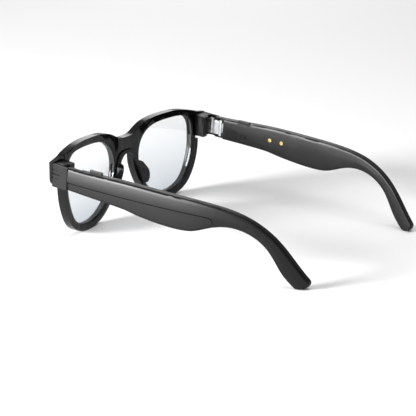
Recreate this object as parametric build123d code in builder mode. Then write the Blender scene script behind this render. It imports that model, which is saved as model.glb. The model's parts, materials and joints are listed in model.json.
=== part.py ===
from build123d import *

import os
from math import asin, cos, hypot, radians, sin, sqrt

# Smart glasses: a full-rim front, two clear lenses, a nose saddle and two hollow temples that
# carry the electronics.  Millimetres, +X to the wearer's left, +Y towards the ears, +Z up.
# The glasses stand on the rims and the temple tips, with z = 0 on the table.

# --- Front ------------------------------------------------------------------------------------
lens_width = 48.0
lens_height = 43.8
bridge_width = 23.2
rim_width = 4.0
rim_thickness = 4.5
wrap_radius = 376.0
lens_thickness = 1.8
lens_bite = 0.6
lens_gap = 0.1
lens_setback = 0.8
rim_edge = 0.6
bridge_top = 44.6
nose_apex = 35.2
pad_reach = 6.0
saddle_thickness = 1.2

# --- Temples ----------------------------------------------------------------------------------
temple_length = 141.0
hook_length = 53.0
temple_slope = 4.2
temple_height = 12.0
belly_depth = 16.2
temple_thickness = 6.3
tip_taper = 0.78
bow_rise = 1.2
bow_radius = 530.0
hook_inset = 14.6
brow_rise = 0.85
tip_drop = 34.5
tip_sag = 0.153
tip_round = 0.2
tip_rear_drop = 31.0
bow_stop = 18.0
wall = 0.8
cover_thickness = 1.4
groove_width = 0.7
groove_depth = 1.1
parting_depth = 4.2
bond_gap = 0.05
seam_gap = 0.3
cavity_end = 90.0
inner_start = 6.9
panel_recess = 0.45
panel_gap = 0.65
panel_front = 8.0
panel_rear = 6.3
panel_corner = 2.0

# --- Hinge ------------------------------------------------------------------------------------
lug_width = 10.8
front_setback = 15.0
lug_face = 10.2
pivot_inset = 4.2
pivot_setback = 1.7
knuckle_radius = 1.45
knuckle_top = 1.6
knuckle_height = 2.4
knuckle_middle = 3.3
knuckle_gap = 0.1
pin_radius = 0.7
running_gap = 0.05
head_radius = 1.25
head_height = 0.6
pocket_radius = 3.25
pocket_wall = 2.3
block_setback = 3.3
leaf_thickness = 1.6
leaf_length = 7.5
carriage_inner = 1.2
carriage_outer = 1.2
carriage_length = 3.85
carriage_gap = 0.2
rod_shift = 0.65
tongue_width = 1.4
tongue_height = 4.0
tongue_end = 8.0
slide_gap = 0.08
flange_start = 4.0
flange_thickness = 1.5
flange_lap = 0.35
flange_top = 1.0
flange_bottom = 10.7
box_width = 2.8
box_height = 5.8
box_end = 17.6
chamber_start = 9.2
chamber_end = 17.0
chamber_radius = 1.15
rod_radius = 0.5
rod_head_radius = 1.05
rod_head_start = 16.0
rod_head_length = 0.8
rod_grip = 1.5
spring_radius = 0.82
spring_wire = 0.15
spring_pitch = 0.73

# --- Controls and electronics -----------------------------------------------------------------
button_length = 7.8
button_width = 1.4
button_proud = 0.9
button_travel = 0.35
button_gap = 0.1
button_inset = 0.25
button_lip = 0.4
left_button = 16.0
right_button = 20.5
switch_size = (2.6, 1.1, 1.8)
plunger_height = 0.3
board_size = (27.0, 8.4, 0.6)
board_centre = 32.5
board_drop = 7.1
module_size = (8.0, 5.6, 0.9)
battery_size = (28.0, 7.4, 2.5)
battery_centre = 65.0
battery_drop = 4.9
speaker_size = (12.0, 4.4, 2.5)
speaker_centre = 69.0
speaker_drop = 11.9
grille_length = 9.0
grille_width = 1.4
grille_holes = 8
microphone_size = (2.4, 1.5, 1.2)
microphone_centre = 12.0
port_radius = 0.35
port_drop = 9.0
contact_radius = 1.15
contact_pitch = 8.0
contact_centre = 43.1
contact_drop = 6.05
contact_length = 1.6
contact_sink = 0.1
contact_flange = 0.4
magnet_radius = 2.2
magnet_thickness = 0.9
lead_width = 1.6
lead_thickness = 0.2
lead_slack = 0.1
light_radius = 0.35
light_space = 1.2
mark_centre = 21.2
mark_drop = 8.0
mark_radius = 2.1
mark_depth = 0.25

# --- Places worked out from the sizes -----------------------------------------------------------
slope = radians(temple_slope)
nasal = bridge_width / 2
temporal = nasal + lens_width
lens_low = rim_width + 0.05
lens_top = lens_low + lens_height
front_top = lens_top + rim_width
lug_x = temporal + 2.8
half_width = lug_x + lug_width
bend = temple_length - hook_length
tip_low = temple_length - 5.0
seam_z = tip_low * sin(slope) + tip_drop * cos(slope) + tip_sag
tip_reach = (temple_length + tip_round) * cos(slope) - tip_rear_drop * sin(slope)
front_reach = front_setback + rim_thickness
seam_y = (front_reach - tip_reach) / 2
wrap_centre = seam_y - front_setback + wrap_radius
bow_apex = sqrt(2 * bow_radius * bow_rise)
bow_centre = half_width + bow_rise - bow_radius
bow_end = bend - bow_stop
pivot_x = half_width - pivot_inset
rod_x = pivot_x + rod_shift
knuckle_low = knuckle_top + 2 * knuckle_height + knuckle_middle + 2 * knuckle_gap
knuckle_mid = knuckle_top + knuckle_height + knuckle_gap
hinge_mid = (knuckle_top + knuckle_low) / 2
carriage_start = -pivot_setback + knuckle_radius + carriage_gap
flange_width = box_width + flange_lap
flange_shift = pivot_x - carriage_inner + flange_width / 2 - rod_x
web_depth = cover_thickness + bond_gap + wall
grille_depth = (web_depth + parting_depth) / 2
button_depth = parting_depth + button_inset + button_width / 2
switch_depth = temple_thickness - wall - 0.1 - switch_size[2] / 2
pad_root = front_setback + 0.3 - seam_y


def place(x, s, h):
    """A point of a temple: across, back along its top line, and up from that line."""
    return (x, seam_y + s * cos(slope) + h * sin(slope), seam_z - s * sin(slope) + h * cos(slope))


# Two views of a temple: from the side (along, up) and from above (across, along).
side = Plane(place(0, 0, 0), x_dir=(0, cos(slope), -sin(slope)), z_dir=(1, 0, 0))
above = Plane(place(0, 0, 0), x_dir=(1, 0, 0), z_dir=(0, sin(slope), cos(slope)))
# The axis of the spring rod, looking back along the temple
along_rod = Plane(place(rod_x, 0, -hinge_mid), x_dir=(1, 0, 0), z_dir=(0, cos(slope), -sin(slope)))


def brow(s):
    """Height of the temple's top line over the straight stretch."""
    share = s / bend
    return 0.2 * share + 4 * brow_rise * share * (1 - share)


def outer_x(s, depth=0.0):
    """Distance from the middle to a layer of the temple that lies this deep."""
    return bow_centre + sqrt((bow_radius - depth) ** 2 - (s - bow_apex) ** 2)


def seat(s, h, depth):
    """A plane inside the temple: x along it, y up, z outwards."""
    turn = asin((s - bow_apex) / (bow_radius - depth))
    along = (-sin(turn), cos(turn) * cos(slope), -cos(turn) * sin(slope))
    out = (cos(turn), sin(turn) * cos(slope), -sin(turn) * sin(slope))
    return Plane(place(outer_x(s, depth), s, h), x_dir=along, z_dir=out)


def lens_point(u, v):
    """A point of the lens opening, as shares of its width and height."""
    return (nasal + u * lens_width, lens_low + v * lens_height)


def rim_point(u, v, extra=0.0):
    """The point of the rim's outer edge that lies outside a point of the opening."""
    x, z = lens_point(u, v)
    away_x = x - (nasal + 0.5 * lens_width)
    away_z = z - (lens_low + 0.5 * lens_height)
    reach = (rim_width + extra) / hypot(away_x, away_z)
    return (x + away_x * reach, z + away_z * reach)


def beside(line, shift, count):
    """Points that run beside a curve, this far to its right."""
    marks = [i / count for i in range(count + 1)]
    return [line @ mark + (line % mark).rotate(Axis.Z, -90) * shift for mark in marks]


def lens_outline(grow):
    """The lens opening of the left eye, grown on every side."""
    with BuildLine() as opening:
        Spline(
            [
                lens_point(1.0, 0.6),
                lens_point(0.999, 0.74),
                lens_point(0.968, 0.885),
                lens_point(0.89, 0.965),
                lens_point(0.77, 0.995),
                lens_point(0.56, 1.0),
                lens_point(0.38, 0.99),
                lens_point(0.2, 0.945),
                lens_point(0.055, 0.82),
                lens_point(0.0, 0.6),
                lens_point(0.05, 0.373),
                lens_point(0.165, 0.177),
                lens_point(0.35, 0.04),
                lens_point(0.595, 0.0),
                lens_point(0.83, 0.1),
                lens_point(0.952, 0.335),
            ],
            periodic=True,
        )
    with BuildSketch() as outline:
        with BuildLine():
            if grow:
                Spline(beside(opening.line, grow, 24)[:-1], periodic=True)
            else:
                add(opening.line)
        make_face()
    return outline.sketch


def wrap_band(near, far):
    """The wrapped thickness of the front between two distances from its back face."""
    with BuildSketch() as band:
        with Locations((0, wrap_centre)):
            Circle(wrap_radius + far)
            Circle(wrap_radius + near, mode=Mode.SUBTRACT)
    return band.sketch


def bow_line(depth):
    """The temple seen from above: a shallow bow, then the inward sweep of the ear hook."""
    radius = bow_radius - depth
    front = -front_reach
    with BuildLine() as line:
        bow = ThreePointArc(
            (outer_x(front, depth), front),
            (bow_centre + radius, bow_apex),
            (outer_x(bow_end, depth), bow_end),
        )
        tip = (half_width - hook_inset - depth * tip_taper, temple_length + 2)
        TangentArc(bow @ 1, tip, tangent=bow % 1)
    return line


def layer(near, far, start, end=temple_length + 2):
    """The band of a temple between two depths, seen from above."""
    outer = bow_line(near).line
    inner = bow_line(far).line
    with BuildSketch() as band:
        with BuildLine():
            add(outer)
            add(inner)
            Line(outer @ 0, inner @ 0)
            Line(outer @ 1, inner @ 1)
        make_face()
        with Locations((half_width, (start + end) / 2)):
            Rectangle(2 * half_width, end - start, mode=Mode.INTERSECT)
    return band.sketch


def silhouette(shrink=0.0):
    """A temple and its end piece seen from the side."""
    with BuildLine() as edge:
        top = Spline(
            [
                (-12.0, 0.8),
                (0.0, 0.0),
                (0.38 * bend, brow(0.38 * bend)),
                (0.76 * bend, brow(0.76 * bend)),
                (bend, 0.2),
                (bend + 18.4, -2.8),
                (bend + 34.5, -11.4),
                (bend + 46.3, -23.4),
                (bend + 52.2, -tip_drop + 5.0),
            ]
        )
        tip = Spline(
            [
                top @ 1,
                (bend + 52.6, -tip_drop + 2.6),
                (tip_low + 2.6, -tip_drop + 0.5),
                (tip_low, -tip_drop),
                (tip_low - 3.0, -tip_drop + 1.3),
            ],
            tangents=[top % 1, (-1.7, 1.5)],
        )
        under = Spline(
            [
                tip @ 1,
                (bend + 40.6, -29.0),
                (bend + 31.4, -16.6),
                (bend + 22.6, -10.8),
                (bend + 12.3, -8.9),
                (bend + 2.3, -10.8),
                (bend - 9.2, -belly_depth + 0.9),
                (bend - 16.1, -belly_depth),
                (0.5 * bend, -14.4),
                (0.0, -temple_height),
            ],
            tangents=[(-1.7, 1.5), (-1.0, 0.03)],
        )
        toe = Line(under @ 1, (-9.0, -temple_height - 0.2))
        TangentArc(toe @ 1, (-12.0, -temple_height + 2.8), tangent=toe % 1)
    with BuildSketch() as outline:
        with BuildLine():
            if shrink:
                upper = Spline(beside(top, shrink, 24))
                rear = Spline([upper @ 1, *beside(tip, shrink, 8)[1:]])
                lower = Spline([rear @ 1, *beside(under, shrink, 24)[1:]])
                Polyline(lower @ 1, (-12.0, (lower @ 1).Y), upper @ 0)
            else:
                add(edge.line)
                Line((-12.0, -temple_height + 2.8), top @ 0)
        make_face()
    return outline.sketch


def panel_outline(grow):
    """The sunken lower panel on the outer face of a temple, seen from the side."""
    edge = panel_front - grow
    rear = panel_rear - grow
    end = bend + 2.0 + grow
    corner = panel_corner + grow
    with BuildSketch() as outline:
        with BuildLine():
            Polyline(
                (0, -edge),
                (end - corner, -rear),
            )
            RadiusArc((end - corner, -rear), (end, -rear - corner), corner)
            Polyline(
                (end, -rear - corner),
                (end, -2 * belly_depth),
                (0, -2 * belly_depth),
                (0, -edge),
            )
        make_face()
    return outline.sketch


# --- Front frame --------------------------------------------------------------------------------
with BuildPart() as frame_front:
    with BuildSketch(Plane.XZ):
        with BuildLine():
            brow_line = Spline(
                [
                    (0, bridge_top),
                    (0.56 * nasal, bridge_top + 0.6),
                    (nasal + 1.4, lens_top + 0.4),
                    (nasal + 10.4, front_top - 1.0),
                    (nasal + 0.51 * lens_width, front_top - 0.1),
                    (temporal - 9.6, front_top - 0.8),
                    (lug_x, front_top - 3.6),
                    (half_width - 0.7, seam_z + 1.6),
                ],
                tangents=[(1, 0), (1, -0.15)],
            )
            outer_edge = Line(brow_line @ 1, (half_width - 0.7, seam_z - temple_height + 4.6))
            heel = TangentArc(
                outer_edge @ 1,
                (half_width - 4.6, seam_z - temple_height + 0.7),
                tangent=outer_edge % 1,
            )
            lug_low = Line(heel @ 1, (temporal + rim_width + 1.0, seam_z - temple_height + 0.3))
            nose_line = Spline(
                [
                    lug_low @ 1,
                    rim_point(0.952, 0.335, 1.0),
                    rim_point(0.83, 0.1, 0.4),
                    rim_point(0.595, 0.0),
                    rim_point(0.35, 0.04),
                    rim_point(0.165, 0.177),
                    rim_point(0.05, 0.373, 0.4),
                    (0.52 * nasal, nose_apex - 4.2),
                    (0, nose_apex),
                ],
                tangents=[(0, -1), (-1, 0)],
            )
            Line(nose_line @ 1, brow_line @ 0)
        make_face()
        add(lens_outline(0), mode=Mode.SUBTRACT)
        mirror(about=Plane.YZ)
    extrude(amount=temple_length, both=True)
    with BuildSketch(Plane.XY):
        add(wrap_band(0, rim_thickness))
    extrude(amount=2 * front_top, both=True, mode=Mode.INTERSECT)
    fillet(frame_front.edges().filter_by(lambda e: e.is_closed), rim_edge)
    # Seats of the end pieces, behind the front's two corners
    for flip in (1, -1):
        with BuildSketch(side.offset(flip * (lug_x - bond_gap))):
            with Locations((10 - lug_face - bond_gap, 2 - temple_height / 2)):
                Rectangle(20, temple_height + 8)
        extrude(amount=flip * 2 * lug_width, mode=Mode.SUBTRACT)
    # Lens grooves
    with BuildSketch(Plane.XZ):
        add(lens_outline(lens_bite + lens_gap))
        mirror(about=Plane.YZ)
    lens_zone = extrude(amount=temple_length, both=True, mode=Mode.PRIVATE)
    with BuildSketch(Plane.XY):
        add(wrap_band(lens_setback - lens_gap, lens_setback + lens_thickness + lens_gap))
    groove_ring = extrude(amount=2 * front_top, both=True, mode=Mode.PRIVATE)
    add(lens_zone & groove_ring, mode=Mode.SUBTRACT)

with BuildPart() as lens_left:
    with BuildSketch(Plane.XZ):
        add(lens_outline(lens_bite))
    extrude(amount=temple_length, both=True)
    with BuildSketch(Plane.XY):
        add(wrap_band(lens_setback, lens_setback + lens_thickness))
    extrude(amount=2 * front_top, both=True, mode=Mode.INTERSECT)

# A saddle on the back of the bridge, with a pad flaring back along each side of the nose.
with BuildPart() as nose_saddle:
    with BuildSketch(Plane.XZ.offset(pad_root)):
        with BuildLine():
            crest = Spline(
                [
                    (0, nose_apex + 1.8),
                    (0.6 * nasal, nose_apex + 0.4),
                    (nasal - 1.6, nose_apex - 5.0),
                    (nasal - 0.2, nose_apex - 12.0),
                    (nasal + 3.4, nose_apex - 20.0),
                    (nasal + 6.4, nose_apex - 24.2),
                ],
                tangents=[(1, 0), (1, -1)],
            )
            foot = Line(crest @ 1, (nasal + 4.2, nose_apex - 23.4))
            nose_side = Spline(
                [
                    foot @ 1,
                    (nasal - 1.9, nose_apex - 11.0),
                    (0.53 * nasal, nose_apex - 4.0),
                    (0, nose_apex + 0.1),
                ],
                tangents=[(-1, 1.6), (-1, 0)],
            )
            Line(nose_side @ 1, crest @ 0)
        make_face()
        mirror(about=Plane.YZ)
    extrude(amount=-saddle_thickness)
    for flip in (1, -1):
        with BuildSketch(Plane.XZ.offset(pad_root)) as root:
            with BuildLine():
                Polyline(
                    (flip * (nasal - 5.6), nose_apex - 4.4),
                    (flip * (nasal - 1.9), nose_apex - 6.0),
                    (flip * (nasal - 0.4), nose_apex - 12.0),
                    (flip * (nasal + 4.4), nose_apex - 22.0),
                    (flip * (nasal + 3.0), nose_apex - 21.6),
                    (flip * (nasal - 2.0), nose_apex - 11.2),
                    close=True,
                )
            make_face()
        with BuildSketch(Plane.XZ.offset(pad_root - pad_reach)) as rim:
            with BuildLine():
                Polyline(
                    (flip * (nasal - 3.2), nose_apex - 6.0),
                    (flip * (nasal - 1.6), nose_apex - 7.0),
                    (flip * (nasal + 2.2), nose_apex - 12.0),
                    (flip * (nasal + 5.0), nose_apex - 19.4),
                    (flip * (nasal + 4.2), nose_apex - 19.0),
                    (flip * (nasal + 0.8), nose_apex - 11.6),
                    close=True,
                )
            make_face()
        loft()
    # Seen from the side, the free edge of each pad is rounded from top to bottom.
    with BuildSketch(Plane.YZ):
        with BuildLine():
            free_edge = Spline(
                [
                    (-pad_root + 1.8, nose_apex - 3.4),
                    (-pad_root + 5.2, nose_apex - 8.0),
                    (-pad_root + pad_reach, nose_apex - 13.6),
                    (-pad_root + 4.6, nose_apex - 18.6),
                    (-pad_root + 1.3, nose_apex - 22.2),
                ]
            )
            Polyline(
                free_edge @ 1,
                (-pad_root + 1.3, 0),
                (-pad_root - 10, 0),
                (-pad_root - 10, bridge_top),
                (-pad_root + 1.8, bridge_top),
                free_edge @ 0,
            )
        make_face()
    extrude(amount=temporal, both=True, mode=Mode.INTERSECT)
    with BuildSketch(Plane.XY):
        add(wrap_band(-bond_gap, 2 * rim_thickness))
    extrude(amount=2 * front_top, both=True, mode=Mode.SUBTRACT)

# --- End pieces and hinges --------------------------------------------------------------------
with BuildPart() as corner_groove:
    with BuildSketch(side):
        add(silhouette())
        add(silhouette(groove_depth), mode=Mode.SUBTRACT)
        with Locations((0, temple_height / 2 - 2)):
            Rectangle(60, temple_height, mode=Mode.INTERSECT)
    extrude(amount=2 * half_width)
    with BuildSketch(above):
        add(layer(cover_thickness, cover_thickness + groove_width, -14, 1))
    extrude(amount=3 * temple_height, both=True, mode=Mode.INTERSECT)

with BuildPart() as endpiece_left:
    with BuildSketch(side.offset(lug_x)):
        add(silhouette())
    extrude(amount=2 * lug_width)
    with BuildSketch(above):
        add(layer(0, lug_width + 4, -lug_face, 0))
    extrude(amount=3 * temple_height, both=True, mode=Mode.INTERSECT)
    # Hinge pocket, open towards the temple
    with BuildSketch(above):
        with Locations((pivot_x, -pivot_setback)):
            Circle(pocket_radius)
        with Locations((half_width - pocket_wall - lug_width, 5 - block_setback)):
            Rectangle(2 * lug_width, 10)
        with Locations((half_width - pocket_wall + lug_width, 0)):
            Rectangle(2 * lug_width, 30, mode=Mode.SUBTRACT)
    extrude(amount=3 * temple_height, both=True, mode=Mode.SUBTRACT)
    # Slot for the hinge leaf
    with BuildSketch(above.offset(-knuckle_low - slide_gap)):
        with Locations((pivot_x, -pivot_setback - leaf_length / 2)):
            Rectangle(leaf_thickness + 2 * bond_gap, leaf_length + 2 * bond_gap)
    extrude(amount=knuckle_low - knuckle_top + 2 * slide_gap, mode=Mode.SUBTRACT)
    # Three short grooves on the front corner
    for drop, length in ((2.6, 4.0), (4.9, 5.4), (7.0, 4.2)):
        with BuildSketch(side.offset(half_width - 1.2)):
            with Locations((-lug_face + length / 2 - 1, -drop)):
                SlotOverall(length + 2, 0.7)
        extrude(amount=3, mode=Mode.SUBTRACT)
    add(corner_groove.part, mode=Mode.SUBTRACT)

# The leaf is moulded into the end piece and carries the outer two knuckles.
with BuildPart() as hinge_leaf_left:
    for low in (-knuckle_low, -knuckle_top - knuckle_height):
        with BuildSketch(above.offset(low)):
            with Locations((pivot_x, -pivot_setback)):
                Circle(knuckle_radius)
        extrude(amount=knuckle_height)
    with BuildSketch(above.offset(-knuckle_low)):
        with Locations((pivot_x, -pivot_setback - leaf_length / 2)):
            Rectangle(leaf_thickness, leaf_length)
    extrude(amount=knuckle_low - knuckle_top)
    with BuildSketch(above.offset(-knuckle_mid - knuckle_middle - knuckle_gap)):
        with Locations((pivot_x, -pivot_setback)):
            Circle(knuckle_radius + carriage_gap + knuckle_gap)
    extrude(amount=knuckle_middle + 2 * knuckle_gap, mode=Mode.SUBTRACT)
    with BuildSketch(above.offset(-knuckle_low - 1)):
        with Locations((pivot_x, -pivot_setback)):
            Circle(pin_radius + running_gap)
    extrude(amount=knuckle_low, mode=Mode.SUBTRACT)

with BuildPart() as hinge_screw_left:
    with BuildSketch(above.offset(-knuckle_low)):
        with Locations((pivot_x, -pivot_setback)):
            Circle(pin_radius)
    extrude(amount=knuckle_low - knuckle_top + bond_gap)
    with BuildSketch(above.offset(-knuckle_top + bond_gap)):
        with Locations((pivot_x, -pivot_setback)):
            Circle(head_radius)
    extrude(amount=head_height)
    with BuildSketch(above.offset(-knuckle_top + head_height / 2)):
        with Locations((pivot_x, -pivot_setback)):
            Rectangle(3 * head_radius, 0.35)
    extrude(amount=head_height, mode=Mode.SUBTRACT)

# The carriage turns on the screw; its tongue slides in the hinge box of the temple.
with BuildPart() as hinge_carriage_left:
    with BuildSketch(above.offset(-knuckle_mid - knuckle_middle)):
        with Locations((pivot_x, -pivot_setback)):
            Circle(knuckle_radius)
        with Locations((pivot_x, -pivot_setback + 1.2)):
            Rectangle(leaf_thickness, 2.4)
    extrude(amount=knuckle_middle)
    with BuildSketch(above.offset(-knuckle_low)):
        carriage_x = pivot_x + (carriage_outer - carriage_inner) / 2
        with Locations((carriage_x, carriage_start + carriage_length / 2)):
            Rectangle(carriage_inner + carriage_outer, carriage_length)
    extrude(amount=knuckle_low - knuckle_top)
    with BuildSketch(above.offset(-hinge_mid - tongue_height / 2)):
        with Locations((rod_x, tongue_end / 2 + carriage_start / 2)):
            Rectangle(tongue_width, tongue_end - carriage_start)
    extrude(amount=tongue_height)
    with BuildSketch(above.offset(-knuckle_low)):
        with Locations((pivot_x, -pivot_setback)):
            Circle(pin_radius + running_gap)
    extrude(amount=knuckle_low, mode=Mode.SUBTRACT)
    with BuildSketch(along_rod.offset(tongue_end - rod_grip)):
        Circle(rod_radius + bond_gap / 2)
    extrude(amount=rod_grip + 1, mode=Mode.SUBTRACT)

with BuildPart() as guide_rod_left:
    with BuildSketch(along_rod.offset(tongue_end - rod_grip + bond_gap)):
        Circle(rod_radius)
    extrude(amount=rod_head_start - tongue_end + rod_grip)
    with BuildSketch(along_rod.offset(rod_head_start)):
        Circle(rod_head_radius)
    extrude(amount=rod_head_length)

with BuildPart() as hinge_box_left:
    with BuildSketch(along_rod.offset(flange_start)):
        with Locations((flange_shift, (flange_top + flange_bottom) / 2 - hinge_mid)):
            Rectangle(flange_width, flange_bottom - flange_top)
    extrude(amount=flange_thickness)
    with BuildSketch(along_rod.offset(flange_start)):
        Rectangle(box_width, box_height)
    extrude(amount=box_end - flange_start)
    with BuildSketch(along_rod.offset(flange_start)):
        Rectangle(tongue_width + 2 * slide_gap, tongue_height + 2 * slide_gap)
    extrude(amount=tongue_end + slide_gap - flange_start, mode=Mode.SUBTRACT)
    with BuildSketch(along_rod.offset(flange_start)):
        Circle(rod_radius + slide_gap)
    extrude(amount=chamber_end - flange_start, mode=Mode.SUBTRACT)
    with BuildSketch(along_rod.offset(chamber_start)):
        Circle(chamber_radius)
    extrude(amount=chamber_end - chamber_start, mode=Mode.SUBTRACT)

with BuildPart() as hinge_spring_left:
    with BuildLine() as coil:
        Helix(
            spring_pitch,
            rod_head_start - chamber_start - 4 * spring_wire,
            spring_radius,
            center=along_rod.offset(chamber_start + 2 * spring_wire).origin,
            direction=along_rod.z_dir,
        )
    with BuildSketch(Plane(coil.line @ 0, z_dir=coil.line % 0)):
        Circle(spring_wire)
    sweep(path=coil.line)

# --- Temple shells ----------------------------------------------------------------------------
# The hollow shared by the two housings
with BuildPart() as hollow:
    with BuildSketch(side):
        add(silhouette(wall))
    extrude(amount=2 * half_width)
    with BuildSketch(above):
        add(layer(web_depth, temple_thickness - wall, -1, cavity_end))
    extrude(amount=2 * temple_length, both=True, mode=Mode.INTERSECT)

with BuildPart() as outer_cover_left:
    with BuildSketch(side):
        add(silhouette())
        add(panel_outline(panel_gap), mode=Mode.SUBTRACT)
    extrude(amount=2 * half_width)
    with BuildSketch(above):
        add(layer(0, cover_thickness, seam_gap))
    extrude(amount=2 * temple_length, both=True, mode=Mode.INTERSECT)

with BuildPart() as lower_panel_left:
    with BuildSketch(side):
        add(silhouette())
        add(panel_outline(0), mode=Mode.INTERSECT)
    extrude(amount=2 * half_width)
    with BuildSketch(above):
        add(layer(panel_recess, cover_thickness, seam_gap))
    extrude(amount=2 * temple_length, both=True, mode=Mode.INTERSECT)

with BuildPart() as outer_core:
    with BuildSketch(side):
        add(silhouette(groove_depth))
    extrude(amount=2 * half_width)
    with BuildSketch(above):
        add(layer(cover_thickness + bond_gap, cover_thickness + groove_width, seam_gap))
    extrude(amount=2 * temple_length, both=True, mode=Mode.INTERSECT)

with BuildPart() as outer_housing_left:
    with BuildSketch(side):
        add(silhouette())
    extrude(amount=2 * half_width)
    with BuildSketch(above):
        add(layer(cover_thickness + groove_width, parting_depth, seam_gap))
    extrude(amount=2 * temple_length, both=True, mode=Mode.INTERSECT)
    add(outer_core.part)
    add(hollow.part, mode=Mode.SUBTRACT)
    # Sound slot under the belly and the microphone port
    with BuildSketch(seat(speaker_centre, -speaker_drop, grille_depth)):
        with Locations((0, -speaker_size[1] / 2 - 2)):
            Rectangle(grille_length + 2 * bond_gap, 4)
    extrude(amount=grille_width / 2 + bond_gap, both=True, mode=Mode.SUBTRACT)
    port = place(outer_x(microphone_centre, grille_depth), microphone_centre, -port_drop)
    with BuildSketch(Plane(port, z_dir=above.z_dir)):
        Circle(port_radius)
    extrude(amount=-6, mode=Mode.SUBTRACT)


def button_plane(button_centre):
    """A plane in the top wall of the inner housing, facing up through the button."""
    spot = place(outer_x(button_centre, button_depth), button_centre, brow(button_centre))
    return Plane(spot, x_dir=(1, 0, 0), z_dir=above.z_dir)


def light_plane(button_centre):
    """The same plane at the status light, just behind the button."""
    along = button_centre + button_length / 2 + light_space
    spot = place(outer_x(along, button_depth), along, brow(along))
    return Plane(spot, x_dir=(1, 0, 0), z_dir=above.z_dir)


def inner_housing(button_centre):
    """The inner half of a temple, with the button slot in its top wall."""
    with BuildPart() as shell:
        with BuildSketch(side):
            add(silhouette())
        extrude(amount=2 * half_width)
        with BuildSketch(above):
            add(layer(parting_depth + bond_gap, temple_thickness, inner_start))
        extrude(amount=2 * temple_length, both=True, mode=Mode.INTERSECT)
        add(hollow.part, mode=Mode.SUBTRACT)
        with BuildSketch(button_plane(button_centre)):
            Rectangle(button_width + 2 * button_gap, button_length + 2 * button_gap)
        extrude(amount=2 * wall, both=True, mode=Mode.SUBTRACT)
        with BuildSketch(button_plane(button_centre).offset(-wall)):
            Rectangle(button_width + 2 * button_gap, button_length + 2 * button_lip + 2 * button_gap)
        extrude(amount=-button_lip - button_travel - 2 * button_gap, mode=Mode.SUBTRACT)
        with BuildSketch(light_plane(button_centre)):
            Circle(light_radius + bond_gap)
        extrude(amount=2 * wall, both=True, mode=Mode.SUBTRACT)
        # Room for the hinge box
        with BuildSketch(along_rod.offset(flange_start)):
            Rectangle(box_width + 2 * slide_gap, box_height + 2 * slide_gap)
        extrude(amount=box_end + slide_gap - flange_start, mode=Mode.SUBTRACT)
        for step in (-0.5, 0.5):
            with BuildSketch(seat(contact_centre + step * contact_pitch, -contact_drop, temple_thickness)):
                Circle(contact_radius + bond_gap)
            extrude(amount=2 * wall, both=True, mode=Mode.SUBTRACT)
        with BuildSketch(seat(mark_centre, -mark_drop, temple_thickness)):
            Circle(mark_radius)
            Circle(mark_radius - 0.5, mode=Mode.SUBTRACT)
        extrude(amount=mark_depth, both=True, mode=Mode.SUBTRACT)
    return shell


def button(button_centre):
    """A slim bar that stands proud of the top wall and is held in by a lip below it."""
    with BuildPart() as bar:
        with BuildSketch(button_plane(button_centre).offset(-wall - button_gap - button_lip)):
            Rectangle(button_width, button_length)
        extrude(amount=wall + button_gap + button_lip + button_proud)
        fillet(bar.faces().sort_by(Axis.Z)[-1].edges(), 0.3)
        with BuildSketch(button_plane(button_centre).offset(-wall - button_gap - button_lip)):
            Rectangle(button_width, button_length + 2 * button_lip)
        extrude(amount=button_lip)
    return bar


def switch(button_centre):
    """The tactile switch that the button presses, on the board's top edge."""
    long, tall, deep = switch_size
    top = button_plane(button_centre).offset(-wall - 2 * button_gap - button_lip - button_travel)
    with BuildPart() as block:
        with BuildSketch(top.offset(-plunger_height)):
            with Locations((button_depth - switch_depth, 0)):
                Rectangle(deep, long)
        extrude(amount=-tall)
        with BuildSketch(top.offset(-plunger_height)):
            with Locations((0.2, 0)):
                Circle(0.4)
        extrude(amount=plunger_height)
    return block


def light_pipe(button_centre):
    """The clear pin of the status light, behind the button."""
    with BuildPart() as pin:
        with BuildSketch(light_plane(button_centre).offset(-wall - 0.4)):
            Circle(light_radius)
        extrude(amount=wall + 0.45)
    return pin


inner_housing_left = inner_housing(left_button)
button_left = button(left_button)
switch_left = switch(left_button)
light_pipe_left = light_pipe(left_button)

# --- Inside the temple ------------------------------------------------------------------------
board_depth = (web_depth + temple_thickness - wall) / 2 - 0.3

with BuildPart(seat(board_centre, -board_drop, board_depth)) as circuit_board_left:
    Box(*board_size)

with BuildPart(seat(board_centre, -board_drop, board_depth)) as radio_module_left:
    with Locations((-4, 0, -board_size[2] / 2 - module_size[2] / 2)):
        Box(*module_size)

with BuildPart(seat(battery_centre, -battery_drop, board_depth + 0.25)) as battery_left:
    Box(*battery_size)
    fillet(battery_left.edges().group_by(Edge.length)[0], 0.6)

with BuildPart(seat(speaker_centre, -speaker_drop, board_depth + 0.25)) as speaker_left:
    Box(*speaker_size)

with BuildPart(seat(speaker_centre, -belly_depth + 0.35, grille_depth)) as speaker_grille_left:
    Box(grille_length, 0.5, grille_width)
    under = place(outer_x(speaker_centre, grille_depth), speaker_centre, -belly_depth)
    with BuildSketch(Plane(under, z_dir=above.z_dir)):
        with GridLocations(1, grille_length / grille_holes, 1, grille_holes):
            Circle(0.3)
    extrude(amount=2, both=True, mode=Mode.SUBTRACT)

with BuildPart(seat(microphone_centre, -temple_height + wall + 1.4, grille_depth)) as microphone_left:
    Box(*microphone_size)

with BuildPart() as charge_contacts_left:
    for step in (-0.5, 0.5):
        along = contact_centre + step * contact_pitch
        with BuildSketch(seat(along, -contact_drop, temple_thickness - contact_sink)):
            Circle(contact_radius)
        extrude(amount=contact_length)
        with BuildSketch(seat(along, -contact_drop, temple_thickness - wall - bond_gap)):
            Circle(contact_radius + contact_flange)
        extrude(amount=contact_length - wall)

with BuildPart() as charge_magnet_left:
    with BuildSketch(seat(contact_centre, -contact_drop, temple_thickness - wall - bond_gap)):
        Circle(magnet_radius)
    extrude(amount=magnet_thickness)

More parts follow.
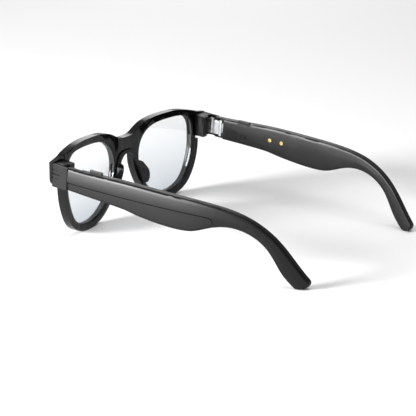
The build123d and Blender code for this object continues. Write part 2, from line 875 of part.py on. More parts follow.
lead_start = board_centre + board_size[0] / 2
lead_end = battery_centre - battery_size[0] / 2
with BuildPart(seat((lead_start + lead_end) / 2, -battery_drop, board_depth)) as battery_lead_left:
    Box(lead_end - lead_start - lead_slack, lead_width, lead_thickness)


# --- The right side mirrors the left ------------------------------------------------------------
def twin(piece):
    """The same piece for the other side."""
    with BuildPart() as other:
        mirror(piece.part, about=Plane.YZ)
    return other


pairs = {
    "lens": lens_left,
    "endpiece": endpiece_left,
    "hinge_leaf": hinge_leaf_left,
    "hinge_screw": hinge_screw_left,
    "hinge_carriage": hinge_carriage_left,
    "guide_rod": guide_rod_left,
    "hinge_box": hinge_box_left,
    "hinge_spring": hinge_spring_left,
    "outer_cover": outer_cover_left,
    "lower_panel": lower_panel_left,
    "outer_housing": outer_housing_left,
    "inner_housing": inner_housing_left,
    "button": button_left,
    "switch": switch_left,
    "light_pipe": light_pipe_left,
    "circuit_board": circuit_board_left,
    "radio_module": radio_module_left,
    "battery": battery_left,
    "speaker": speaker_left,
    "speaker_grille": speaker_grille_left,
    "microphone": microphone_left,
    "charge_contacts": charge_contacts_left,
    "charge_magnet": charge_magnet_left,
    "battery_lead": battery_lead_left,
}
# The right button sits further back, and the pieces around it move with it.
right_first = {
    "inner_housing": inner_housing(right_button),
    "button": button(right_button),
    "switch": switch(right_button),
    "light_pipe": light_pipe(right_button),
}

pieces = {"frame_front": frame_front, "nose_saddle": nose_saddle}
for name, piece in pairs.items():
    pieces[name + "_left"] = piece
    pieces[name + "_right"] = twin(right_first.get(name, piece))

os.makedirs("parts", exist_ok=True)
for name, piece in pieces.items():
    piece.part.label = name
    export_step(piece.part, f"parts/{name}.step")
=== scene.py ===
import json
from math import cos, pi, radians, sin

import bmesh
import bpy
from mathutils import Matrix, Vector
from mathutils.bvhtree import BVHTree
from mathutils.kdtree import KDTree

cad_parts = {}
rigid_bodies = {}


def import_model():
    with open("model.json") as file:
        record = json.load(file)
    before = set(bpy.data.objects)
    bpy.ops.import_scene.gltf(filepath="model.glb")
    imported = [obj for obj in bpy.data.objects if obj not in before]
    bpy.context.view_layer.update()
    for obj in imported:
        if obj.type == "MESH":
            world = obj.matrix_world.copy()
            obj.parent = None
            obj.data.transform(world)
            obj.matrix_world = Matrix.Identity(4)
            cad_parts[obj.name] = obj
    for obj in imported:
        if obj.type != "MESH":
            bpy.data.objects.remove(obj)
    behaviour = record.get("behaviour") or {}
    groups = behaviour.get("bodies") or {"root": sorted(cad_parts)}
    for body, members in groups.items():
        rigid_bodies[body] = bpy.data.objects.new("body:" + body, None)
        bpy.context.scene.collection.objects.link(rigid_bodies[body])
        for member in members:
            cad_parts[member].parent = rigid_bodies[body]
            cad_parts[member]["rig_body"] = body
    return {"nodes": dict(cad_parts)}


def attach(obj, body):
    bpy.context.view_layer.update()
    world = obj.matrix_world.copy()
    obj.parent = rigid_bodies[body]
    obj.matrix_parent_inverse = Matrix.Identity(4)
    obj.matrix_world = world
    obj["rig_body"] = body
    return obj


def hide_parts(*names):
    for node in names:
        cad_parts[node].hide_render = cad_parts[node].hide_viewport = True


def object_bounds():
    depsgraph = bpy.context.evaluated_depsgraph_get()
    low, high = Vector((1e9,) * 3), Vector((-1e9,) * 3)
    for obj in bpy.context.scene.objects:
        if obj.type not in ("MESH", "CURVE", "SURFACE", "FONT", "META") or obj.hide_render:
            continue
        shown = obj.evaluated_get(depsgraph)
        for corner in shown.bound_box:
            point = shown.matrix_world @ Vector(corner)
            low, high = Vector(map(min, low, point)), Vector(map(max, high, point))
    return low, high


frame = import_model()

bl_info = {
    "name": "Smart glasses finish",
    "version": (1, 0, 0),
    "blender": (4, 5, 0),
    "location": "3D View > Sidebar > Smart glasses",
    "description": "Shells, lenses, hinge metal and controls of a pair of smart glasses",
    "category": "Object",
}

CAD_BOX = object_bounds()
SIDES = ("left", "right")

# The temples slope down towards the ears from the hinge seat, given as Y and Z
SLOPE = radians(4.2)
HINGE_SEAT = (-0.059525, 0.04452)

# The lenses lie on an upright cylinder about this Y
WRAP_CENTRE = 0.301475
LENS_FACE_COSINE = 0.95

# Where the straight part of a temple ends, and the shift that clears its lower panel
HOOK_START = 0.093
PANEL_LIFT = 0.0032

# Rays that look for a temple start outside it, or between the two temples
OUTER_START = 0.1
INNER_START = 0.03
TEMPLE_REACH = 0.014
LEAST_REACH = 0.00003
REACH_HALVINGS = 13

# How far a crowned blank passes the temple: ahead, above and below, and into the body
LEAD_IN = 0.002
SIDE_OVERLAP = 0.0006
BLANK_DEPTH = 0.004
LOW_CROWN_SHARE = 0.45
INNER_ROUND = 0.0006
INNER_CROWN = 0.0004

# Soft edges of the small pieces
SMALL_EDGE = 0.0001
HINGE_EDGE = 0.00012
FRONT_EDGE = 0.0006
SADDLE_EDGE = 0.0005
MERGE_DISTANCE = 1e-6

# The middle line of a temple's side view: how far back, and how far up from the top line
TEMPLE_MIDDLE = (
    (0.0006, -0.0060),
    (0.0180, -0.0062),
    (0.0450, -0.0066),
    (0.0700, -0.0072),
    (0.0880, -0.0056),
    (0.1000, -0.0050),
    (0.1105, -0.0076),
    (0.1208, -0.0140),
    (0.1266, -0.0195),
    (0.1316, -0.0254),
    (0.1358, -0.0303),
    (0.1392, -0.0342),
)


# --- Sizes and colours --------------------------------------------------------------------------
class StageSettings(bpy.types.PropertyGroup):
    camera_place: bpy.props.FloatVectorProperty(
        name="Camera place",
        description="Where the camera stands, behind the wearer's left shoulder",
        subtype="TRANSLATION",
        unit="LENGTH",
        default=(0.69278, 0.43647, 0.26147),
    )
    camera_aim: bpy.props.FloatVectorProperty(
        name="Camera aim",
        description="The point that the camera looks at",
        subtype="TRANSLATION",
        unit="LENGTH",
        default=(0.01276, -0.01071, 0.0163),
    )
    camera_roll: bpy.props.FloatProperty(
        name="Camera roll",
        description="Tilt of the camera about its view",
        subtype="ANGLE",
        default=radians(0.2),
    )
    camera_lens: bpy.props.FloatProperty(
        name="Camera lens", description="Focal length in millimetres on a 36 mm sensor", default=135.25
    )
    floor_colour: bpy.props.FloatVectorProperty(
        name="Floor colour",
        description="Colour of the floor",
        subtype="COLOR",
        size=3,
        default=(0.93, 0.93, 0.93),
    )
    sky_strength: bpy.props.FloatProperty(
        name="Sky strength", description="Strength of the even light all round", default=0.36
    )


class ShellSettings(bpy.types.PropertyGroup):
    satin_colour: bpy.props.FloatVectorProperty(
        name="Satin colour",
        description="Colour of the satin shells",
        subtype="COLOR",
        size=3,
        default=(0.004, 0.004, 0.0042),
    )
    gloss_colour: bpy.props.FloatVectorProperty(
        name="Gloss colour",
        description="Colour of the front",
        subtype="COLOR",
        size=3,
        default=(0.0012, 0.0012, 0.0013),
    )
    edge_radius: bpy.props.FloatProperty(
        name="Edge radius",
        description="Rounding of the shell edges",
        unit="LENGTH",
        default=0.0004,
        precision=5,
    )
    top_round: bpy.props.FloatProperty(
        name="Top round",
        description="Rounding of the cover's upper edge",
        unit="LENGTH",
        default=0.0006,
        precision=5,
    )
    low_round: bpy.props.FloatProperty(
        name="Low round",
        description="Rounding of the cover's lower edge",
        unit="LENGTH",
        default=0.0007,
        precision=5,
    )
    crown: bpy.props.FloatProperty(
        name="Crown",
        description="Fall of the cover's face towards its upper edge",
        unit="LENGTH",
        default=0.00072,
        precision=5,
    )
    crown_reach: bpy.props.FloatProperty(
        name="Crown reach",
        description="How far from the edge the crown starts",
        unit="LENGTH",
        default=0.0075,
        precision=5,
    )
    panel_sink: bpy.props.FloatProperty(
        name="Panel sink",
        description="How deep the lower panel lies",
        unit="LENGTH",
        default=0.00045,
        precision=5,
    )
    stations: bpy.props.IntProperty(name="Stations", description="Cuts along each outer cover", default=150)
    rows: bpy.props.IntProperty(name="Rows", description="Rows up each outer cover", default=14)


class ControlSettings(bpy.types.PropertyGroup):
    contact_places: bpy.props.FloatVectorProperty(
        name="Contact places",
        description="How far back the contacts lie",
        unit="LENGTH",
        size=2,
        default=(0.0391, 0.0471),
    )
    contact_drop: bpy.props.FloatProperty(
        name="Contact drop",
        description="How far the contacts lie below the top line",
        unit="LENGTH",
        default=0.00605,
        precision=5,
    )
    seal_radius: bpy.props.FloatProperty(
        name="Seal radius",
        description="Radius of the contact seals",
        unit="LENGTH",
        default=0.00138,
        precision=5,
    )
    seal_thickness: bpy.props.FloatProperty(
        name="Seal thickness",
        description="Half thickness of the contact seals",
        unit="LENGTH",
        default=0.0002,
        precision=5,
    )


# --- Material building blocks ---------------------------------------------------------------------
def start_material(name, colour, roughness, metallic=0.0):
    """A node material with its shader, and the object coordinates that its patterns read."""
    material = bpy.data.materials.new(name)
    material.use_nodes = True
    nodes = material.node_tree.nodes
    shader = nodes["Principled BSDF"]
    shader.inputs["Base Color"].default_value = (*colour, 1.0)
    shader.inputs["Roughness"].default_value = roughness
    shader.inputs["Metallic"].default_value = metallic
    place = nodes.new("ShaderNodeTexCoord")
    return material, shader, place


def link(material, start, end):
    """Join two sockets of a material."""
    material.node_tree.links.new(start, end)


def noise(material, place, scale, detail=4.0, stretch=(1.0, 1.0, 1.0)):
    """A noise pattern in object space; scale counts its waves over a metre."""
    nodes = material.node_tree.nodes
    mapping = nodes.new("ShaderNodeMapping")
    mapping.inputs["Scale"].default_value = stretch
    pattern = nodes.new("ShaderNodeTexNoise")
    pattern.inputs["Scale"].default_value = scale
    pattern.inputs["Detail"].default_value = detail
    link(material, place.outputs["Object"], mapping.inputs["Vector"])
    link(material, mapping.outputs["Vector"], pattern.inputs["Vector"])
    return pattern.outputs["Fac"]


def spread(material, source, low, high, start=0.3, end=0.7):
    """Map a pattern's middle range onto two values."""
    ranger = material.node_tree.nodes.new("ShaderNodeMapRange")
    ranger.inputs["From Min"].default_value = start
    ranger.inputs["From Max"].default_value = end
    ranger.inputs["To Min"].default_value = low
    ranger.inputs["To Max"].default_value = high
    link(material, source, ranger.inputs["Value"])
    return ranger.outputs["Result"]


def tint(material, source, low, high, start=0.3, end=0.7):
    """Map a pattern's middle range onto two colours."""
    ramp = material.node_tree.nodes.new("ShaderNodeValToRGB")
    ramp.color_ramp.elements[0].position = start
    ramp.color_ramp.elements[0].color = (*low, 1.0)
    ramp.color_ramp.elements[1].position = end
    ramp.color_ramp.elements[1].color = (*high, 1.0)
    link(material, source, ramp.inputs["Fac"])
    return ramp.outputs["Color"]


def relief(material, shader, source, strength, height):
    """Raise the surface by a pattern, with its height in metres."""
    bump = material.node_tree.nodes.new("ShaderNodeBump")
    bump.inputs["Strength"].default_value = strength
    bump.inputs["Distance"].default_value = height
    link(material, source, bump.inputs["Height"])
    link(material, bump.outputs["Normal"], shader.inputs["Normal"])


def shade(colour, factor):
    """The same colour, lighter or darker."""
    return tuple(min(1.0, part * factor) for part in colour)


# --- Finishes ---------------------------------------------------------------------------------------
def satin_plastic(name, colour, roughness=0.37):
    """Soft-touch moulding: a fine spark-eroded grain with slow changes of tone and gloss."""
    material, shader, place = start_material(name, colour, roughness)
    shader.inputs["Specular IOR Level"].default_value = 0.24
    grain = noise(material, place, 9000.0, 3.0)
    cloud = noise(material, place, 60.0, 2.0)
    link(material, tint(material, cloud, shade(colour, 0.88), shade(colour, 1.12)), shader.inputs["Base Color"])
    link(material, spread(material, cloud, roughness - 0.03, roughness + 0.03), shader.inputs["Roughness"])
    relief(material, shader, grain, 0.25, 0.00002)
    return material


def gloss_plastic(name, colour):
    """Polished black front with a clear coat and faint tumbling marks."""
    material, shader, place = start_material(name, colour, 0.16)
    shader.inputs["Specular IOR Level"].default_value = 0.15
    shader.inputs["Coat Weight"].default_value = 0.2
    shader.inputs["Coat Roughness"].default_value = 0.08
    marks = noise(material, place, 700.0, 5.0, (1.0, 1.0, 0.4))
    link(material, tint(material, marks, shade(colour, 0.8), shade(colour, 1.3)), shader.inputs["Base Color"])
    link(material, spread(material, marks, 0.13, 0.2), shader.inputs["Roughness"])
    relief(material, shader, marks, 0.08, 0.00003)
    return material


def coated_lens(name):
    """Clear lens: pale at the top, a little greyer towards the bottom, with a cool coating."""
    material, shader, place = start_material(name, (0.95, 0.96, 0.97), 0.0)
    shader.inputs["Transmission Weight"].default_value = 1.0
    shader.inputs["IOR"].default_value = 1.02
    shader.inputs["Coat Weight"].default_value = 0.8
    shader.inputs["Coat IOR"].default_value = 1.9
    shader.inputs["Coat Roughness"].default_value = 0.04
    nodes = material.node_tree.nodes
    split = nodes.new("ShaderNodeSeparateXYZ")
    link(material, place.outputs["Object"], split.inputs["Vector"])
    height = spread(material, split.outputs["Z"], 0.0, 1.0, 0.004, 0.048)
    greyer, clearer = (0.56, 0.61, 0.65), (0.985, 0.99, 0.995)
    link(material, tint(material, height, greyer, clearer, 0.0, 1.0), shader.inputs["Base Color"])
    ripple = noise(material, place, 35.0, 1.0)
    link(material, spread(material, ripple, 0.0, 0.012), shader.inputs["Roughness"])
    return material


def brushed_metal(name, colour, roughness, stretch=(1.0, 1.0, 14.0)):
    """Turned or drawn metal with fine lines across its length."""
    material, shader, place = start_material(name, colour, roughness, 1.0)
    lines = noise(material, place, 400.0, 2.0, stretch)
    link(material, tint(material, lines, shade(colour, 0.92), shade(colour, 1.05)), shader.inputs["Base Color"])
    link(material, spread(material, lines, roughness * 0.85, roughness * 1.2), shader.inputs["Roughness"])
    relief(material, shader, lines, 0.03, 0.000004)
    return material


def circuit_board_finish(name):
    """Solder mask with copper tracks and pads."""
    material, shader, place = start_material(name, (0.01, 0.09, 0.045), 0.35)
    nodes = material.node_tree.nodes
    tracks = nodes.new("ShaderNodeTexBrick")
    tracks.inputs["Scale"].default_value = 260.0
    tracks.inputs["Color1"].default_value = (0.008, 0.08, 0.04, 1.0)
    tracks.inputs["Color2"].default_value = (0.012, 0.11, 0.05, 1.0)
    tracks.inputs["Mortar"].default_value = (0.05, 0.2, 0.1, 1.0)
    tracks.inputs["Mortar Size"].default_value = 0.04
    turn = nodes.new("ShaderNodeMapping")
    turn.inputs["Rotation"].default_value = (0.0, pi / 2, 0.0)
    link(material, place.outputs["Object"], turn.inputs["Vector"])
    link(material, turn.outputs["Vector"], tracks.inputs["Vector"])
    link(material, tracks.outputs["Color"], shader.inputs["Base Color"])
    relief(material, shader, tracks.outputs["Fac"], 0.3, 0.00003)
    return material


def battery_foil(name):
    """Laminated foil pouch with soft wrinkles."""
    material, shader, place = start_material(name, (0.6, 0.61, 0.63), 0.3, 0.85)
    wrinkles = noise(material, place, 260.0, 3.0, (1.0, 0.5, 1.6))
    link(material, tint(material, wrinkles, (0.5, 0.51, 0.53), (0.68, 0.69, 0.7)), shader.inputs["Base Color"])
    link(material, spread(material, wrinkles, 0.22, 0.4), shader.inputs["Roughness"])
    relief(material, shader, wrinkles, 0.4, 0.0001)
    return material


def film_finish(name):
    """Amber film of a flexible lead with its copper lines."""
    material, shader, place = start_material(name, (0.55, 0.25, 0.05), 0.3)
    nodes = material.node_tree.nodes
    wave = nodes.new("ShaderNodeTexWave")
    wave.bands_direction = "Z"
    wave.inputs["Scale"].default_value = 400.0
    link(material, place.outputs["Object"], wave.inputs["Vector"])
    film, copper = (0.4, 0.16, 0.03), (0.68, 0.34, 0.09)
    link(material, tint(material, wave.outputs["Fac"], film, copper), shader.inputs["Base Color"])
    relief(material, shader, wave.outputs["Fac"], 0.2, 0.00002)
    return material


def clear_pin(name):
    """The light pipe's clear resin."""
    material, shader, place = start_material(name, (0.9, 0.92, 0.95), 0.15)
    shader.inputs["Transmission Weight"].default_value = 0.8
    haze = noise(material, place, 800.0, 2.0)
    link(material, spread(material, haze, 0.1, 0.25), shader.inputs["Roughness"])
    return material


# --- Mesh building blocks ---------------------------------------------------------------------------
def pick_only(piece):
    """Leave one object selected and active."""
    bpy.ops.object.select_all(action="DESELECT")
    piece.select_set(True)
    bpy.context.view_layer.objects.active = piece


def refined(node, edge, angle=35.0, segments=3, flat=0.6):
    """A merged copy of a CAD node with soft edges and smooth faces, which stands for it."""
    source = frame["nodes"][node]
    piece = bpy.data.objects.new("finished_" + node, source.data.copy())
    bpy.context.scene.collection.objects.link(piece)
    pick_only(piece)
    bpy.ops.object.mode_set(mode="EDIT")
    bpy.ops.mesh.select_all(action="SELECT")
    bpy.ops.mesh.remove_doubles(threshold=MERGE_DISTANCE)
    bpy.ops.mesh.dissolve_limited(angle_limit=radians(flat))
    bpy.ops.object.mode_set(mode="OBJECT")
    bpy.ops.object.shade_smooth_by_angle(angle=radians(angle))
    if edge:
        bevel = piece.modifiers.new("soft_edges", "BEVEL")
        bevel.harden_normals = True
        bevel.width = edge
        bevel.segments = segments
        bevel.limit_method = "ANGLE"
        bevel.angle_limit = radians(angle)
        bevel.use_clamp_overlap = True
        bpy.ops.object.modifier_apply(modifier=bevel.name)
    return piece


def true_curve(lens):
    """Give a lens the normals of its real curve, so that it shows no facets."""
    mesh = lens.data
    normals = []
    for face in mesh.polygons:
        for index in face.vertices:
            spot = mesh.vertices[index].co
            outward = Vector((spot.x, spot.y - WRAP_CENTRE, 0.0)).normalized()
            facing = outward.dot(face.normal)
            curved = abs(facing) > LENS_FACE_COSINE
            normals.append(outward * (1 if facing > 0 else -1) if curved else face.normal.copy())
    mesh.normals_split_custom_set(normals)


def side_point(along, up):
    """A point of a temple's side view, as Y and Z in metres."""
    back = HINGE_SEAT[0] + along * cos(SLOPE) + up * sin(SLOPE)
    height = HINGE_SEAT[1] - along * sin(SLOPE) + up * cos(SLOPE)
    return Vector((back, height))


def smooth_line(points, count):
    """Evenly numbered places on a smooth line through points, each with its direction."""
    padded = [points[0] * 2 - points[1], *points, points[-1] * 2 - points[-2]]
    places = []
    for index in range(count + 1):
        run = index / count * (len(points) - 1)
        leg = min(int(run), len(points) - 2)
        t = run - leg
        a, b, c, d = padded[leg : leg + 4]
        spot = (b * 2 + (c - a) * t + (a * 2 - b * 5 + c * 4 - d) * t**2 + (b * 3 - a - c * 3 + d) * t**3) / 2
        way = ((c - a) + (a * 2 - b * 5 + c * 4 - d) * 2 * t + (b * 3 - a - c * 3 + d) * 3 * t**2) / 2
        places.append((spot, way.normalized()))
    return places


def surface_tree(nodes):
    """One search tree over the meshes of several CAD nodes."""
    corners = []
    faces = []
    for node in nodes:
        mesh = frame["nodes"][node].data
        first = len(corners)
        corners.extend(vertex.co.copy() for vertex in mesh.vertices)
        faces.extend([first + index for index in face.vertices] for face in mesh.polygons)
    return BVHTree.FromPolygons(corners, faces)


class TempleFace:
    """One long face of a temple: where its edges run in side view, and how deep it lies."""

    def __init__(self, side, nodes, inner, stations):
        self.sign = 1.0 if side == "left" else -1.0
        self.inner = inner
        self.face = surface_tree(nodes)
        self.whole = surface_tree([f"outer_housing_{side}", f"inner_housing_{side}", *nodes])
        middle = [side_point(along, up) for along, up in TEMPLE_MIDDLE]
        places = smooth_line(middle, stations)
        self.depths = []
        for spot, _ in places:
            depth = self.touch(self.face, spot + Vector((0.0, self.lift(spot))))
            if depth is not None:
                self.depths.append((self.along(spot), depth))
        self.stations = []
        for spot, way in places:
            across = Vector((-way.y, way.x))
            self.stations.append((spot, way, across, self.edge(spot, -across), self.edge(spot, across)))

    def along(self, spot):
        """How far back a point lies on the temple."""
        return (spot.x - HINGE_SEAT[0]) * cos(SLOPE) - (spot.y - HINGE_SEAT[1]) * sin(SLOPE)

    def lift(self, spot):
        """A shift that keeps clear of the lower panel on the straight part."""
        return PANEL_LIFT if self.along(spot) < HOOK_START else 0.0

    def touch(self, tree, spot):
        """Where a line across the temple first meets it, from outside or from the head's side."""
        start = INNER_START if self.inner else OUTER_START
        way = self.sign if self.inner else -self.sign
        hit = tree.ray_cast(Vector((self.sign * start, spot.x, spot.y)), Vector((way, 0, 0)))[0]
        return abs(hit.x) if hit else None

    def edge(self, spot, across):
        """How far the temple reaches from a point in side view."""
        near, far = 0.0, TEMPLE_REACH
        for _ in range(REACH_HALVINGS):
            half = (near + far) / 2
            if self.touch(self.whole, spot + across * half) is None:
                far = half
            else:
                near = half
        return max(near, LEAST_REACH)

    def depth(self, spot):
        """The face's own depth under a point, from its curve seen from above."""
        along = self.along(spot)
        before, after = self.depths[0], self.depths[1]
        for first, second in zip(self.depths, self.depths[1:]):
            before, after = first, second
            if second[0] >= along:
                break
        share = (along - before[0]) / (after[0] - before[0])
        return before[1] + share * (after[1] - before[1])


def crowned_blank(face, sink, round_top, round_low, crown, reach, rows):
    """A blank that follows a temple from hinge to tip, with a crowned and rounded face."""
    inward = 1.0 if face.inner else -1.0
    first = face.stations[0]
    stations = [(first[0] - first[1] * LEAD_IN, *first[1:]), *face.stations]
    rims = KDTree(2 * len(stations))
    edges = [
        [spot - across * low for spot, _, across, low, _ in stations],
        [spot + across * high for spot, _, across, _, high in stations],
    ]
    for upper, line in enumerate(edges):
        for index, point in enumerate(line):
            rims.insert((point.x, point.y, 0.0), 2 * index + upper)
    rims.balance()

    def drop(spot):
        """How far the face falls at a point, from its gap to the nearer edge."""
        index, upper = divmod(rims.find((spot.x, spot.y, 0.0))[1], 2)
        line = edges[upper][max(0, index - 1) : index + 2]
        gaps = []
        for start, end in zip(line, line[1:]):
            share = (spot - start).dot(end - start) / max((end - start).length_squared, 1e-12)
            gaps.append((spot - start.lerp(end, min(1.0, max(0.0, share)))).length)
        gap = min(gaps)
        radius, fall = (round_top, crown) if upper else (round_low, crown * LOW_CROWN_SHARE)
        short = max(0.0, radius - gap)
        bulge = max(0.0, 1.0 - gap / reach)
        return radius - (radius**2 - short**2) ** 0.5 + fall * bulge**2

    def corner(spot, lower):
        """A point of the blank under a point in side view."""
        return Vector((face.sign * (face.depth(spot) + inward * (sink + lower)), spot.x, spot.y))

    floor = max(round_top, round_low) + crown + 0.0001
    work = bmesh.new()
    loops = []
    for spot, _, across, low, high in stations:
        ring = []
        for row in range(rows + 1):
            point = spot + across * ((1.0 - cos(pi * row / rows)) / 2 * (low + high) - low)
            ring.append(corner(point, drop(point)))
        under = spot - across * (low + SIDE_OVERLAP)
        over = spot + across * (high + SIDE_OVERLAP)
        ring = [corner(under, BLANK_DEPTH), corner(under, floor), *ring]
        ring += [corner(over, floor), corner(over, BLANK_DEPTH)]
        loops.append([work.verts.new(point) for point in ring])
    for here, there in zip(loops, loops[1:]):
        for index in range(len(here)):
            after = (index + 1) % len(here)
            work.faces.new((here[index], here[after], there[after], there[index]))
    work.faces.new(loops[0])
    work.faces.new(loops[-1])
    bmesh.ops.recalc_face_normals(work, faces=work.faces)
    mesh = bpy.data.meshes.new("crowned_blank")
    work.to_mesh(mesh)
    work.free()
    blank = bpy.data.objects.new("crowned_blank", mesh)
    bpy.context.scene.collection.objects.link(blank)
    return blank


def crowned(node, blank):
    """A CAD node's copy whose long face takes a crowned blank's shape."""
    piece = refined(node, 0.0)
    trim = piece.modifiers.new("crown", "BOOLEAN")
    trim.operation = "INTERSECT"
    trim.object = blank
    trim.solver = "EXACT"
    pick_only(piece)
    bpy.ops.object.modifier_apply(modifier=trim.name)
    bpy.data.objects.remove(blank)
    bpy.ops.object.shade_smooth_by_angle(angle=radians(28.0))
    return piece


def dress(piece, material):
    """Give a piece one material."""
    piece.data.materials.clear()
    piece.data.materials.append(material)


def settle(piece, node, material):
    """Finish a piece that stands for a CAD node: material, hiding the node, and body."""
    dress(piece, material)
    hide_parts(node)
    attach(piece, frame["nodes"][node]["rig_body"])


def carry_over(node, material):
    """Keep a CAD node and give it a better material."""
    dress(frame["nodes"][node], material)


# --- Operators ----------------------------------------------------------------------------------------
class GLASSES_OT_stage(bpy.types.Operator):
    """Make the floor, the soft lights and the camera"""

    bl_idname = "glasses.stage"
    bl_label = "Stage"

    def execute(self, context):
        settings = context.scene.glasses_stage
        bpy.ops.object.select_all(action="DESELECT")
        bpy.ops.mesh.primitive_plane_add(size=30.0, location=(0, 0, CAD_BOX[0][2]))
        floor = context.object
        floor.name = "floor"
        material, shader, place = start_material("floor_paper", tuple(settings.floor_colour), 0.9)
        tooth = noise(material, place, 400.0, 3.0)
        relief(material, shader, tooth, 0.03, 0.0001)
        dress(floor, material)
        context.scene.view_settings.view_transform = "Standard"
        world = bpy.data.worlds.new("soft_sky")
        context.scene.world = world
        world.use_nodes = True
        sky = world.node_tree.nodes["Background"]
        sky.inputs["Color"].default_value = (1.0, 1.0, 1.0, 1.0)
        sky.inputs["Strength"].default_value = settings.sky_strength
        for name, spot, aim, size, power in (
            ("side_softbox", (0.95, -0.62, 0.28), (0.07, 0.0, 0.03), 0.42, 36.0),
            ("far_softbox", (-0.9, -0.6, 0.45), (0.0, 0.0, 0.02), 0.5, 1.4),
            ("top_softbox", (0.1, 0.2, 1.2), (0.0, 0.0, 0.0), 1.0, 5.5),
        ):
            bpy.ops.object.light_add(type="AREA", location=spot)
            lamp = context.object
            lamp.name = name
            lamp.data.size = size
            lamp.data.energy = power
            lamp.rotation_euler = (Vector(aim) - Vector(spot)).to_track_quat("-Z", "Y").to_euler()
        view = Vector(settings.camera_aim) - Vector(settings.camera_place)
        bpy.ops.object.camera_add(location=settings.camera_place)
        camera = context.object
        turn = view.to_track_quat("-Z", "Y").to_matrix() @ Matrix.Rotation(settings.camera_roll, 3, "Z")
        camera.rotation_euler = turn.to_euler()
        camera.data.sensor_width = 36.0
        camera.data.lens = settings.camera_lens
        camera.data.clip_end = 60.0
        context.scene.camera = camera
        return {"FINISHED"}


class GLASSES_OT_front(bpy.types.Operator):
    """Finish the full-rim front and the nose saddle"""

    bl_idname = "glasses.front"
    bl_label = "Front"

    def execute(self, context):
        settings = context.scene.glasses_shells
        gloss = gloss_plastic("front_gloss_black", tuple(settings.gloss_colour))
        settle(refined("frame_front", FRONT_EDGE), "frame_front", gloss)
        saddle = satin_plastic("saddle_black", shade(settings.gloss_colour, 1.6), 0.38)
        settle(refined("nose_saddle", SADDLE_EDGE), "nose_saddle", saddle)
        return {"FINISHED"}


class GLASSES_OT_lenses(bpy.types.Operator):
    """Finish both lenses"""

    bl_idname = "glasses.lenses"
    bl_label = "Lenses"

    def execute(self, context):
        clear = coated_lens("lens_clear_coated")
        for side in SIDES:
            lens = refined("lens_" + side, 0.0, flat=0.01)
            true_curve(lens)
            settle(lens, "lens_" + side, clear)
        return {"FINISHED"}


class GLASSES_OT_shells(bpy.types.Operator):
    """Finish the end pieces and the temple shells"""

    bl_idname = "glasses.shells"
    bl_label = "Shells"

    def execute(self, context):
        settings = context.scene.glasses_shells
        satin = satin_plastic("shell_satin_grey", tuple(settings.satin_colour))
        dark = satin_plastic("panel_satin_black", shade(settings.satin_colour, 0.45), 0.5)
        for side in SIDES:
            for node in ("endpiece", "outer_housing"):
                name = f"{node}_{side}"
                settle(refined(name, settings.edge_radius), name, satin)
            inner = "inner_housing_" + side
            face = TempleFace(side, [inner], True, settings.stations)
            shape = (INNER_ROUND, INNER_ROUND, INNER_CROWN, settings.crown_reach, settings.rows)
            settle(crowned(inner, crowned_blank(face, 0.0, *shape)), inner, satin)
            cover, panel = "outer_cover_" + side, "lower_panel_" + side
            face = TempleFace(side, [cover, panel], False, settings.stations)
            rounds = (settings.top_round, settings.low_round)
            shape = (*rounds, settings.crown, settings.crown_reach, settings.rows)
            settle(crowned(cover, crowned_blank(face, 0.0, *shape)), cover, satin)
            settle(crowned(panel, crowned_blank(face, settings.panel_sink, *shape)), panel, dark)
        return {"FINISHED"}


class GLASSES_OT_hinges(bpy.types.Operator):
    """Finish the hinge leaves, carriages, boxes, screws, rods and springs"""

    bl_idname = "glasses.hinges"
    bl_label = "Hinges"

    def execute(self, context):
        steel = brushed_metal("hinge_bright_steel", (0.62, 0.62, 0.63), 0.36)
        screw = brushed_metal("screw_turned_steel", (0.62, 0.62, 0.64), 0.3, (1.0, 8.0, 1.0))
        wire = brushed_metal("spring_drawn_wire", (0.5, 0.5, 0.52), 0.35, (4.0, 1.0, 4.0))
        for side in SIDES:
            for node, finish, edge in (
                ("hinge_leaf", steel, HINGE_EDGE),
                ("hinge_carriage", steel, HINGE_EDGE),
                ("hinge_box", steel, HINGE_EDGE),
                ("hinge_screw", screw, SMALL_EDGE),
                ("guide_rod", screw, SMALL_EDGE),
                ("hinge_spring", wire, 0.0),
            ):
                name = f"{node}_{side}"
                settle(refined(name, edge, segments=2), name, finish)
        return {"FINISHED"}


class GLASSES_OT_controls(bpy.types.Operator):
    """Finish the buttons, lights, contacts and sound grilles"""

    bl_idname = "glasses.controls"
    bl_label = "Controls"

    def execute(self, context):
        button = satin_plastic("button_black", (0.012, 0.012, 0.012), 0.3)
        light = clear_pin("light_pipe_clear")
        gold = brushed_metal("contact_gold", (0.78, 0.55, 0.2), 0.28, (6.0, 1.0, 1.0))
        mesh_steel = brushed_metal("grille_black_steel", (0.12, 0.12, 0.125), 0.4)
        for side in SIDES:
            for node, finish, edge in (
                ("button", button, SMALL_EDGE),
                ("light_pipe", light, 0.0),
                ("charge_contacts", gold, SMALL_EDGE),
                ("speaker_grille", mesh_steel, 0.0),
            ):
                name = f"{node}_{side}"
                settle(refined(name, edge, segments=2), name, finish)
        return {"FINISHED"}


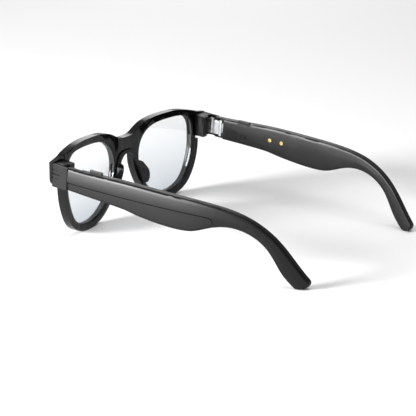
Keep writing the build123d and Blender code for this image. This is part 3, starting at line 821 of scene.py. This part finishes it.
class GLASSES_OT_contact_seals(bpy.types.Operator):
    """Set a dark seal round each charging contact"""

    bl_idname = "glasses.contact_seals"
    bl_label = "Contact seals"

    def execute(self, context):
        settings = context.scene.glasses_controls
        rubber = satin_plastic("seal_black_rubber", (0.004, 0.004, 0.0045), 0.6)
        for side in SIDES:
            face = TempleFace(side, ["inner_housing_" + side], True, 40)
            for number, along in enumerate(settings.contact_places):
                spot = side_point(along, -settings.contact_drop)
                bpy.ops.object.select_all(action="DESELECT")
                bpy.ops.mesh.primitive_torus_add(
                    major_radius=settings.seal_radius,
                    minor_radius=settings.seal_thickness,
                    major_segments=40,
                    minor_segments=10,
                    location=(face.sign * face.depth(spot), spot.x, spot.y),
                    rotation=(0.0, pi / 2, 0.0),
                )
                bpy.ops.object.transform_apply(location=True, rotation=True, scale=True)
                bpy.ops.object.shade_smooth()
                seal = context.object
                seal.name = f"contact_seal_{side}_{number}"
                dress(seal, rubber)
                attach(seal, frame["nodes"]["inner_housing_" + side]["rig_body"])
        return {"FINISHED"}


class GLASSES_OT_electronics(bpy.types.Operator):
    """Finish the pieces inside each temple"""

    bl_idname = "glasses.electronics"
    bl_label = "Electronics"

    def execute(self, context):
        finishes = {
            "circuit_board": circuit_board_finish("board_solder_mask"),
            "radio_module": brushed_metal("module_tin_can", (0.7, 0.7, 0.7), 0.35),
            "battery": battery_foil("battery_foil"),
            "battery_lead": film_finish("lead_amber_film"),
            "speaker": satin_plastic("speaker_black", (0.03, 0.03, 0.032), 0.5),
            "microphone": brushed_metal("microphone_can", (0.75, 0.65, 0.42), 0.3),
            "switch": satin_plastic("switch_black", (0.06, 0.06, 0.06), 0.5),
            "charge_magnet": brushed_metal("magnet_nickel", (0.66, 0.65, 0.63), 0.2),
        }
        for side in SIDES:
            for node, finish in finishes.items():
                carry_over(f"{node}_{side}", finish)
        return {"FINISHED"}


class GLASSES_PT_panel(bpy.types.Panel):
    """Buttons for every part of the smart glasses"""

    bl_idname = "GLASSES_PT_panel"
    bl_label = "Smart glasses"
    bl_space_type = "VIEW_3D"
    bl_region_type = "UI"
    bl_category = "Smart glasses"

    def draw(self, context):
        for operator in OPERATORS:
            self.layout.operator(operator.bl_idname)


OPERATORS = (
    GLASSES_OT_stage,
    GLASSES_OT_front,
    GLASSES_OT_lenses,
    GLASSES_OT_shells,
    GLASSES_OT_hinges,
    GLASSES_OT_controls,
    GLASSES_OT_contact_seals,
    GLASSES_OT_electronics,
)
CLASSES = (StageSettings, ShellSettings, ControlSettings, *OPERATORS, GLASSES_PT_panel)


def register():
    for item in CLASSES:
        bpy.utils.register_class(item)
    bpy.types.Scene.glasses_stage = bpy.props.PointerProperty(type=StageSettings)
    bpy.types.Scene.glasses_shells = bpy.props.PointerProperty(type=ShellSettings)
    bpy.types.Scene.glasses_controls = bpy.props.PointerProperty(type=ControlSettings)


def unregister():
    del bpy.types.Scene.glasses_controls
    del bpy.types.Scene.glasses_shells
    del bpy.types.Scene.glasses_stage
    for item in reversed(CLASSES):
        bpy.utils.unregister_class(item)


def main():
    register()
    bpy.ops.glasses.stage()
    bpy.ops.glasses.front()
    bpy.ops.glasses.lenses()
    bpy.ops.glasses.shells()
    bpy.ops.glasses.hinges()
    bpy.ops.glasses.controls()
    bpy.ops.glasses.contact_seals()
    bpy.ops.glasses.electronics()


if __name__ == "__main__":
    main()
